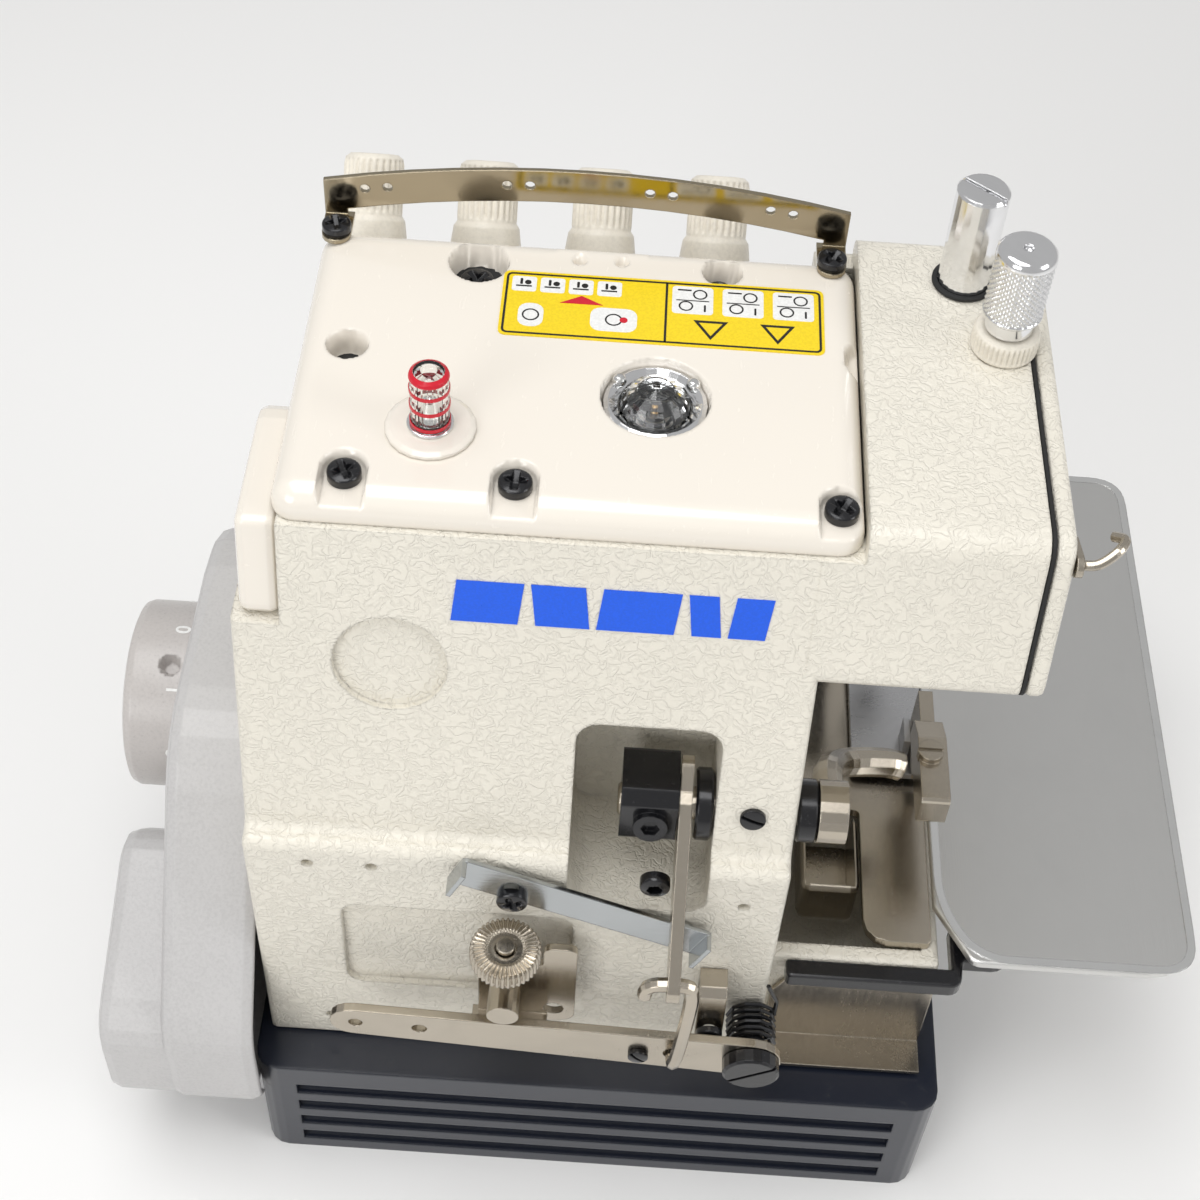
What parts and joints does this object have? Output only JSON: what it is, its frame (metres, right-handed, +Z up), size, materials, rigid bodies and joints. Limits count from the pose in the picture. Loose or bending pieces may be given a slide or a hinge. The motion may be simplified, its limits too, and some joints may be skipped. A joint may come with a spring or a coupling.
{
  "type": "serger overlock machine head",
  "caption": "Overlock sewing machine head with arm, bed and oil pan, tension dials, presser lift lever, handwheel, swing-out cloth plate and hinged looper cover.",
  "frame": {"origin": "bottom centre of the bounding box, under the oil pan", "axes": "+Z up, +X towards the handwheel, -X towards the needle and the cloth plate, +Y towards the back, away from the operator"},
  "size_m": [0.374, 0.2692, 0.3385],
  "materials": {
    "cast_paint": "cream enamel over a rough cast skin",
    "gloss_paint": "glossy cream enamel",
    "cream_plastic": "moulded, satin",
    "grey_plastic": "moulded, satin",
    "wheel_plastic": "moulded, smooth",
    "pan_paint": "dark enamel",
    "chrome": "polished",
    "nickel": "nickel plated, warm tone",
    "stainless": "brushed with a bright rim",
    "zinc": "zinc plated",
    "steel": "ground",
    "black_oxide": "blackened",
    "black_rubber": "matte",
    "clear_plastic": "clear, polished",
    "bronze": "turned",
    "motor_iron": "lacquered laminations"
  },
  "bodies": {
    "machine": {"chip_chute": "nickel", "face_gasket": "black_rubber", "face_plate": "cast_paint", "frame_casting": "cast_paint", "hinge_bar": "black_oxide", "lever_pivot": "black_oxide", "lower_knife": "steel", "motor_cover": "grey_plastic", "motor_stator": "motor_iron", "needle_bar_cap": "chrome", "oil_gauge_collar": "gloss_paint", "oil_gauge_tube": "clear_plastic", "oil_pan": "pan_paint", "oil_window_dome": "clear_plastic", "oil_window_ring": "chrome", "rear_plate": "nickel", "shaft_bush": "bronze", "side_cover": "gloss_paint", "spring_bracket": "nickel", "tension_post_1": "steel", "tension_post_2": "steel", "tension_post_3": "steel", "tension_post_4": "steel", "thread_guide": "chrome", "thread_hook": "zinc", "throat_plate": "nickel", "top_cover": "gloss_paint", "torsion_spring": "black_oxide"},
    "drive": {"main_shaft": "steel", "motor_rotor": "steel", "handwheel": "wheel_plastic"},
    "rocker": {"needle_rocker": "steel"},
    "rod": {"connecting_rod": "steel"},
    "needle_drive": {"needle_bar": "steel", "needle_clamp": "black_oxide", "needle": "steel"},
    "low_looper": {"lower_looper": "steel"},
    "high_looper": {"upper_looper": "steel"},
    "knife_drive": {"knife_arm": "black_oxide", "upper_knife": "steel"},
    "feed": {"feed_dog": "steel"},
    "presser": {"presser_shaft": "nickel", "lift_clamp": "black_oxide", "lift_arm": "nickel", "presser_arm": "nickel", "presser_shank": "nickel"},
    "foot": {"presser_foot": "steel"},
    "lever": {"lift_lever": "nickel"},
    "hook": {"hook_rod": "nickel"},
    "feed_lever": {"diff_lever": "nickel"},
    "feed_nut": {"diff_nut": "nickel"},
    "pressure_screw": {"pressure_knob": "nickel"},
    "lock_nut": {"pressure_lock_nut": "cream_plastic"},
    "release": {"release_lever": "nickel"},
    "looper_door": {"front_cover": "gloss_paint"},
    "side_table": {"cloth_plate": "stainless"},
    "tension_dial_1": {"tension_knob_1": "cream_plastic"},
    "tension_dial_2": {"tension_knob_2": "cream_plastic"},
    "tension_dial_3": {"tension_knob_3": "cream_plastic"},
    "tension_dial_4": {"tension_knob_4": "cream_plastic"}
  },
  "joints": [
    {"name": "tension_turn_1", "type": "hinge", "parent": "machine", "child": "tension_dial_1", "pos_m": [0.1034, -0.05562, 0.262], "axis": [0, -0.6157, 0.788], "range_deg": [-180, 180]},
    {"name": "tension_turn_2", "type": "hinge", "parent": "machine", "child": "tension_dial_2", "pos_m": [0.0662, -0.05562, 0.262], "axis": [0, -0.6157, 0.788], "range_deg": [-180, 180]},
    {"name": "tension_turn_3", "type": "hinge", "parent": "machine", "child": "tension_dial_3", "pos_m": [0.029, -0.05562, 0.262], "axis": [0, -0.6157, 0.788], "range_deg": [-180, 180]},
    {"name": "tension_turn_4", "type": "hinge", "parent": "machine", "child": "tension_dial_4", "pos_m": [-0.0082, -0.05562, 0.262], "axis": [0, -0.6157, 0.788], "range_deg": [-180, 180]},
    {"name": "shaft_turn", "type": "hinge", "parent": "machine", "child": "drive", "pos_m": [0.152, -0.00262, 0.11], "axis": [1, 0, 0], "continuous": true},
    {"name": "rocker_swing", "type": "hinge", "parent": "machine", "child": "rocker", "pos_m": [0.032, -0.00662, 0.268], "axis": [-1, 0, 0], "range_deg": [-22.5, 22.5]},
    {"name": "rod_swing", "type": "hinge", "parent": "rocker", "child": "rod", "pos_m": [0.038, 0.01938, 0.268], "axis": [-1, 0, 0], "range_deg": [-22.5, 22.5]},
    {"name": "needle_stroke", "type": "slide", "parent": "machine", "child": "needle_drive", "axis": [0, 0, 1], "range_m": [-0.012, 0.012]},
    {"name": "low_looper_swing", "type": "hinge", "parent": "machine", "child": "low_looper", "pos_m": [-0.059, -0.03362, 0.08], "axis": [0, -1, 0], "range_deg": [-12, 12]},
    {"name": "high_looper_swing", "type": "hinge", "parent": "machine", "child": "high_looper", "pos_m": [-0.057, -0.05062, 0.08], "axis": [0, -1, 0], "range_deg": [-10, 10]},
    {"name": "knife_swing", "type": "hinge", "parent": "machine", "child": "knife_drive", "pos_m": [-0.065, -0.01462, 0.146], "axis": [-1, 0, 0], "range_deg": [-6, 6]},
    {"name": "feed_stroke", "type": "slide", "parent": "machine", "child": "feed", "axis": [0, 1, 0], "range_m": [-0.0016, 0.0016]},
    {"name": "presser_lift", "type": "hinge", "parent": "machine", "child": "presser", "pos_m": [-0.009, 0.08327, 0.1865], "axis": [-1, 0, 0], "range_deg": [0, 5.5], "stiffness_Nm_per_rad": 8, "springref_deg": -5.73},
    {"name": "foot_tilt", "type": "hinge", "parent": "presser", "child": "foot", "pos_m": [-0.0915, 0.00827, 0.1275], "axis": [-1, 0, 0], "range_deg": [-1.2, 8]},
    {"name": "lever_pull", "type": "hinge", "parent": "machine", "child": "lever", "pos_m": [-0.0385, 0.12289, 0.098], "axis": [0, 1, 0], "range_deg": [0, 9.75]},
    {"name": "hook_swing", "type": "hinge", "parent": "presser", "child": "hook", "pos_m": [-0.009, 0.12927, 0.1535], "axis": [-1, 0, 0], "range_deg": [-9.5, 0]},
    {"name": "feed_set", "type": "hinge", "parent": "machine", "child": "feed_lever", "pos_m": [0.028, 0.11039, 0.104], "axis": [0, 1, 0], "range_deg": [-3, 3]},
    {"name": "feed_nut_turn", "type": "hinge", "parent": "feed_lever", "child": "feed_nut", "pos_m": [0.044, 0.11639, 0.122], "axis": [0, 0, 1], "range_deg": [-180, 180]},
    {"name": "pressure_turn", "type": "hinge", "parent": "machine", "child": "pressure_screw", "pos_m": [-0.0932, -0.00962, 0.3], "axis": [0, 0, 1], "range_deg": [-180, 180]},
    {"name": "lock_nut_turn", "type": "hinge", "parent": "machine", "child": "lock_nut", "pos_m": [-0.0932, -0.00962, 0.3], "axis": [0, 0, 1], "range_deg": [-180, 180]},
    {"name": "release_press", "type": "hinge", "parent": "machine", "child": "release", "pos_m": [-0.1083, 0.05938, 0.288], "axis": [-1, 0, 0], "range_deg": [0, 20], "stiffness_Nm_per_rad": 0.2, "springref_deg": -5.73},
    {"name": "door_open", "type": "hinge", "parent": "machine", "child": "looper_door", "pos_m": [-0.028, -0.06062, 0.065], "axis": [1, 0, 0], "range_deg": [0, 80]},
    {"name": "table_swing", "type": "hinge", "parent": "machine", "child": "side_table", "pos_m": [-0.1175, 0.08138, 0.12], "axis": [0, 0, -1], "range_deg": [0, 80]}
  ],
  "couplings": [
    {"joint": "rod_swing", "follows": "rocker_swing", "ratio": -1},
    {"joint": "needle_stroke", "follows": "rocker_swing", "m_per_rad": 0.030532},
    {"joint": "low_looper_swing", "follows": "rocker_swing", "ratio": 0.52889},
    {"joint": "high_looper_swing", "follows": "rocker_swing", "ratio": -0.44},
    {"joint": "knife_swing", "follows": "rocker_swing", "ratio": 0.26222},
    {"joint": "feed_stroke", "follows": "rocker_swing", "m_per_rad": 0.00382},
    {"joint": "lever_pull", "follows": "presser_lift", "ratio": 1.7692},
    {"joint": "hook_swing", "follows": "presser_lift", "ratio": -1.7}
  ]
}
